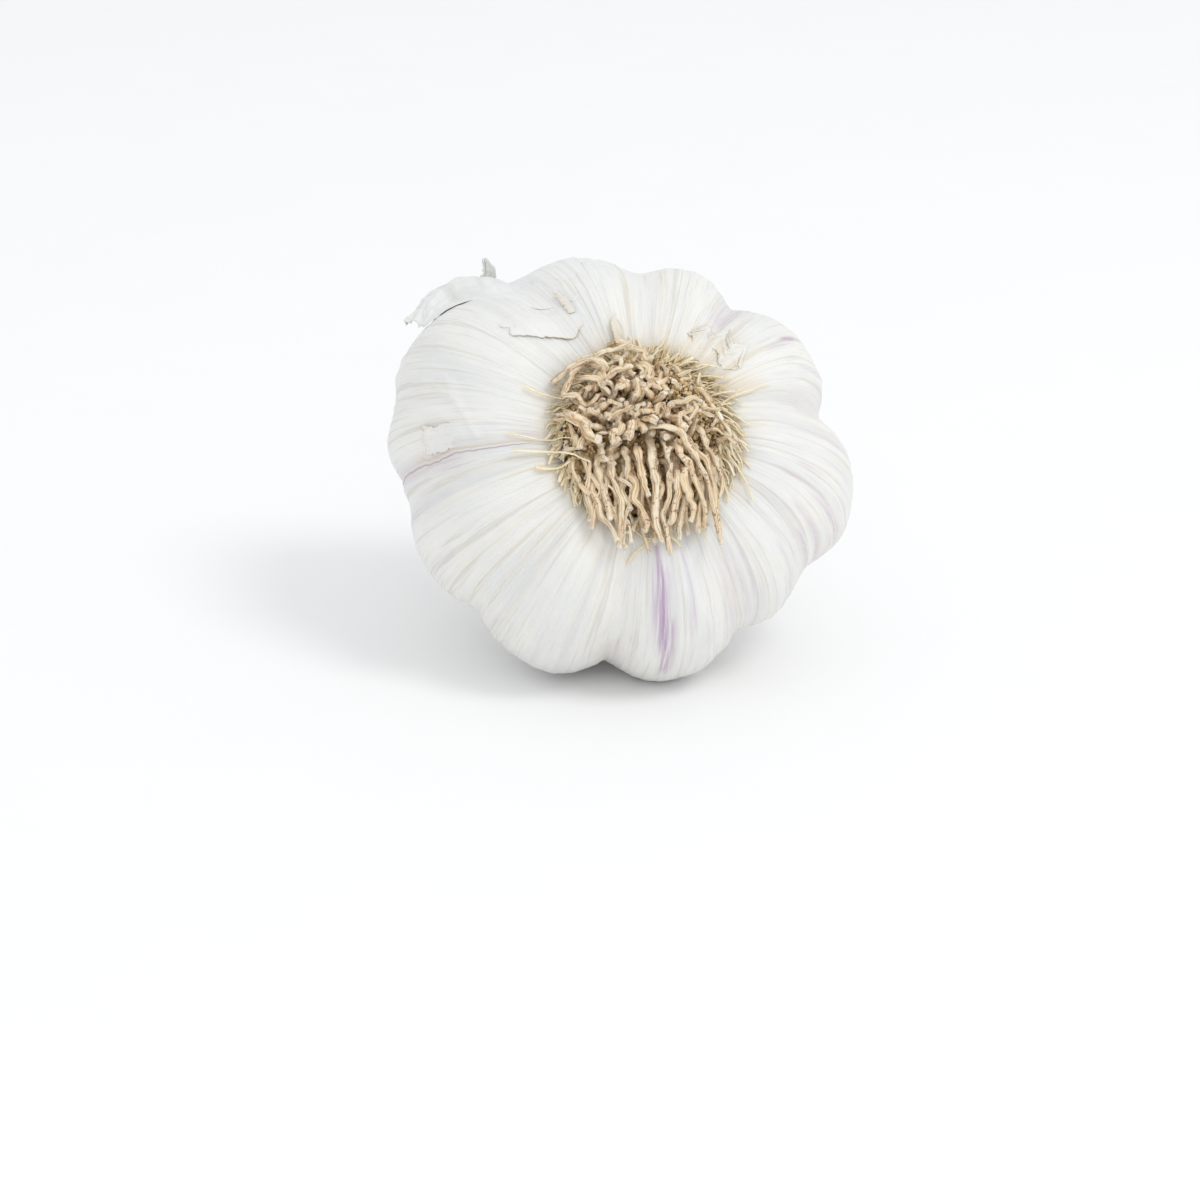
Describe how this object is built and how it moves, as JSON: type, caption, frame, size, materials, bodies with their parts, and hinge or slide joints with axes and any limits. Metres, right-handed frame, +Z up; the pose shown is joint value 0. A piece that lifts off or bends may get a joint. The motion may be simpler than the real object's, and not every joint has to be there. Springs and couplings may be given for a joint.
{
  "type": "garlic bulb",
  "caption": "Whole dried garlic bulb lying on its side, papery white skin over swollen cloves, with its basal plate, dry trimmed roots and short dry neck.",
  "frame": {"origin": "on the table, under the centre of the bulb's bounding box", "axes": "+Z up from the table; the root end faces -Y and upwards at 34 degrees; the neck points to +Y and down; +X is to the right when looking at the roots"},
  "size_m": [0.0604, 0.0594, 0.0511],
  "materials": {
    "tight_skin": "satin papery skin, white with faint veins and a trace of mauve",
    "loose_skin": "thin torn outer skin, slightly see-through",
    "basal_plate": "rough cork-like plate with dry soil",
    "leaf_bases": "frayed straw-coloured leaf bases",
    "dry_roots": "dry wrinkled roots, tan with brown cracks"
  },
  "bodies": {
    "root": {"basal_plate": "basal_plate", "leaf_base_ring": "leaf_bases", "loose_skin_left_patch": "loose_skin", "loose_skin_splinter": "loose_skin", "loose_skin_torn_back": "loose_skin", "loose_skin_upper_right": "loose_skin", "root_hanging_01": "dry_roots", "root_hanging_02": "dry_roots", "root_hanging_03": "dry_roots", "root_hanging_04": "dry_roots", "root_hanging_05": "dry_roots", "root_hanging_06": "dry_roots", "root_hanging_07": "dry_roots", "root_hanging_08": "dry_roots", "root_hanging_09": "dry_roots", "root_hanging_10": "dry_roots", "root_hanging_11": "dry_roots", "root_middle_01": "dry_roots", "root_middle_02": "dry_roots", "root_middle_03": "dry_roots", "root_middle_04": "dry_roots", "root_middle_05": "dry_roots", "root_over_01": "dry_roots", "root_over_02": "dry_roots", "root_over_03": "dry_roots", "root_over_04": "dry_roots", "root_over_05": "dry_roots", "root_over_06": "dry_roots", "root_over_07": "dry_roots", "root_side_01": "dry_roots", "root_side_02": "dry_roots", "root_side_03": "dry_roots", "root_side_04": "dry_roots", "root_side_05": "dry_roots", "root_side_06": "dry_roots", "root_side_07": "dry_roots", "root_side_08": "dry_roots", "root_side_09": "dry_roots", "root_side_10": "dry_roots", "root_side_11": "dry_roots", "root_side_12": "dry_roots", "root_side_13": "dry_roots", "root_stub_01": "dry_roots", "root_stub_02": "dry_roots", "root_stub_03": "dry_roots", "root_stub_04": "dry_roots", "root_stub_05": "dry_roots", "root_stub_06": "dry_roots", "root_stub_07": "dry_roots", "wrapped_bulb": "tight_skin"}
  },
  "joints": []
}
